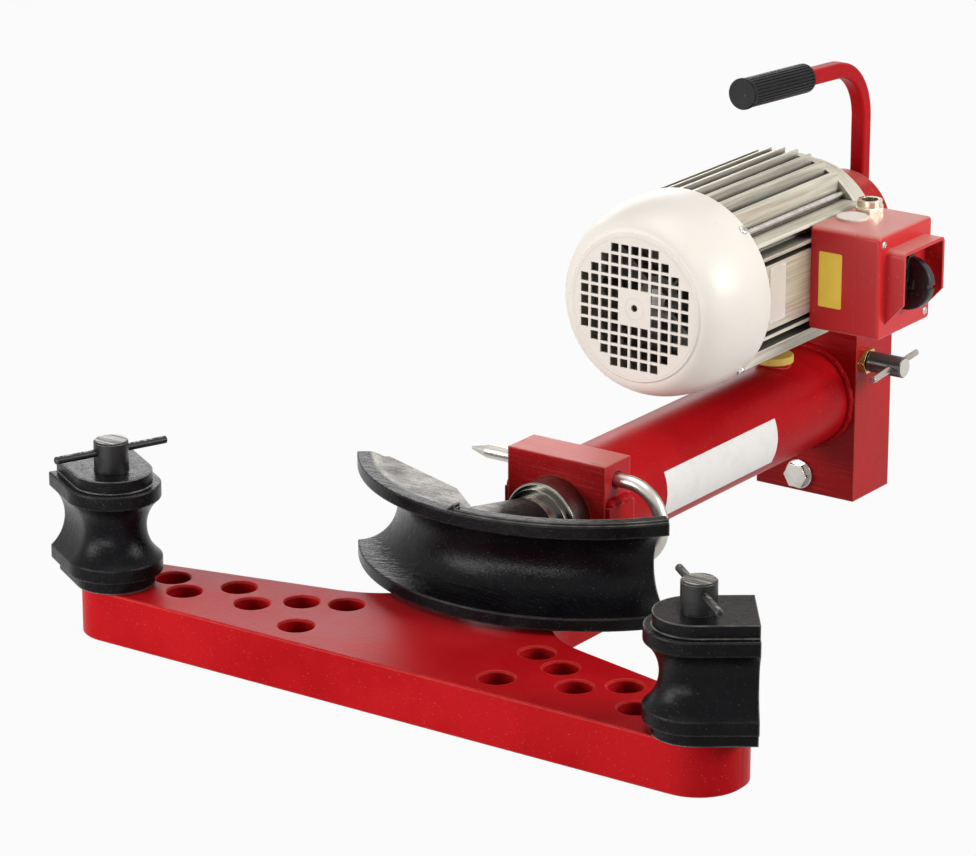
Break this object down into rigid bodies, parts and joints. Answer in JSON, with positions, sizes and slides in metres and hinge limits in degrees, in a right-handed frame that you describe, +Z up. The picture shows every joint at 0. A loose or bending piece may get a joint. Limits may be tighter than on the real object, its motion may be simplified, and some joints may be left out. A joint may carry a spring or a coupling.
{
  "type": "electric hydraulic pipe bender",
  "caption": "Electric pipe bender: a motor and gear pump on a hydraulic cylinder push a crescent former between swivelling grooved blocks that are pinned to a flat T-shaped beam.",
  "frame": {"origin": "on the floor under the beam, midway between the two block pins", "axes": "+Y from the block pins along the cylinder to the motor's back end, +X to the switch box, +Z up"},
  "size_m": [0.7911, 0.8647, 0.4729],
  "materials": {
    "crimson_paint": "thick gloss enamel over welded steel",
    "black_casting": "black semi-gloss paint on rough castings",
    "dark_steel": "dark oiled steel",
    "bright_steel": "turned and polished steel",
    "motor_alloy": "matt warm grey coating on die-cast alloy",
    "cowl_paint": "cream paint on pressed sheet",
    "brass_fitting": "plain machined brass",
    "red_plastic": "moulded red plastic",
    "black_plastic": "moulded black plastic",
    "black_rubber": "black rubber",
    "pale_plastic": "moulded pale grey plastic",
    "yellow_plastic": "moulded yellow plastic",
    "inner_steel": "plain steel, inside the machine",
    "copper_wire": "copper",
    "zinc_screw": "zinc-plated steel"
  },
  "bodies": {
    "frame": {"bending_beam": "crimson_paint", "head_block": "crimson_paint", "head_cheeks": "crimson_paint", "weld_beads": "crimson_paint", "cylinder_head": "bright_steel", "gland_nut": "bright_steel", "rod_wiper": "black_rubber", "gland_bush": "brass_fitting", "oil_tank_tube": "crimson_paint", "pressure_cylinder": "inner_steel", "filler_cap": "yellow_plastic", "rear_block": "crimson_paint", "drain_plug": "bright_steel", "drain_washer": "copper_wire", "valve_nut": "brass_fitting", "valve_ball": "inner_steel", "pump_cover": "inner_steel", "idler_pin": "inner_steel", "motor_housing": "motor_alloy", "drive_end_shield": "motor_alloy", "fan_end_shield": "motor_alloy", "fan_cowl": "cowl_paint", "cowl_screws": "zinc_screw", "motor_bolts": "dark_steel", "motor_tie_rods": "zinc_screw", "motor_bearings": "inner_steel", "stator_core": "inner_steel", "stator_windings": "copper_wire", "switch_box_body": "red_plastic", "switch_box_lid": "red_plastic", "lid_screws": "zinc_screw", "cam_switch": "black_plastic", "cable_gland": "brass_fitting", "blanking_plug": "pale_plastic", "carry_handle": "crimson_paint", "handle_grip": "black_rubber", "return_spring": "inner_steel"},
    "ram": {"bending_former": "black_casting", "ram_rod": "bright_steel", "ram_collar": "bright_steel", "piston": "inner_steel", "piston_seal": "black_rubber"},
    "left_block": {"counter_block_left": "black_casting"},
    "right_block": {"counter_block_right": "black_casting"},
    "left_pin": {"block_pin_left": "dark_steel", "pin_bar_left": "dark_steel"},
    "right_pin": {"block_pin_right": "dark_steel", "pin_bar_right": "dark_steel"},
    "locking_pin": {"lock_pin": "bright_steel"},
    "release_valve": {"valve_spindle": "bright_steel", "valve_t_bar": "bright_steel"},
    "switch": {"switch_knob": "black_plastic", "switch_spindle": "inner_steel"},
    "rotor": {"motor_shaft": "inner_steel", "rotor_core": "inner_steel", "cooling_fan": "black_plastic", "pump_drive_gear": "inner_steel"},
    "pump_idler": {"pump_idler_gear": "inner_steel"}
  },
  "joints": [
    {"name": "ram_slide", "type": "slide", "parent": "frame", "child": "ram", "axis": [0, -1, 0], "range_m": [0, 0.24], "stiffness_N_per_m": 600, "deforming": ["return_spring"]},
    {"name": "left_block_swivel", "type": "hinge", "parent": "frame", "child": "left_block", "pos_m": [-0.328, 0, 0.106], "axis": [0, 0, 1], "continuous": true},
    {"name": "right_block_swivel", "type": "hinge", "parent": "frame", "child": "right_block", "pos_m": [0.328, 0, 0.106], "axis": [0, 0, 1], "continuous": true},
    {"name": "left_pin_lift", "type": "slide", "parent": "frame", "child": "left_pin", "axis": [0, 0, 1], "range_m": [0, 0.165]},
    {"name": "right_pin_lift", "type": "slide", "parent": "frame", "child": "right_pin", "axis": [0, 0, 1], "range_m": [0, 0.165]},
    {"name": "lock_pin_pull", "type": "slide", "parent": "frame", "child": "locking_pin", "axis": [1, 0, 0], "range_m": [0, 0.16]},
    {"name": "release_valve_turn", "type": "hinge", "parent": "frame", "child": "release_valve", "pos_m": [0.094, 0.737, 0.15], "axis": [1, 0, 0], "range_deg": [0, 180]},
    {"name": "switch_turn", "type": "hinge", "parent": "frame", "child": "switch", "pos_m": [0.168, 0.6285, 0.2775], "axis": [1, 0, 0], "range_deg": [0, 90]},
    {"name": "motor_spin", "type": "hinge", "parent": "frame", "child": "rotor", "pos_m": [0, 0.6, 0.279], "axis": [0, 1, 0], "continuous": true},
    {"name": "idler_spin", "type": "hinge", "parent": "frame", "child": "pump_idler", "pos_m": [0, 0.743, 0.249], "axis": [0, 1, 0], "continuous": true}
  ],
  "couplings": [
    {"joint": "idler_spin", "follows": "motor_spin", "ratio": -1}
  ]
}
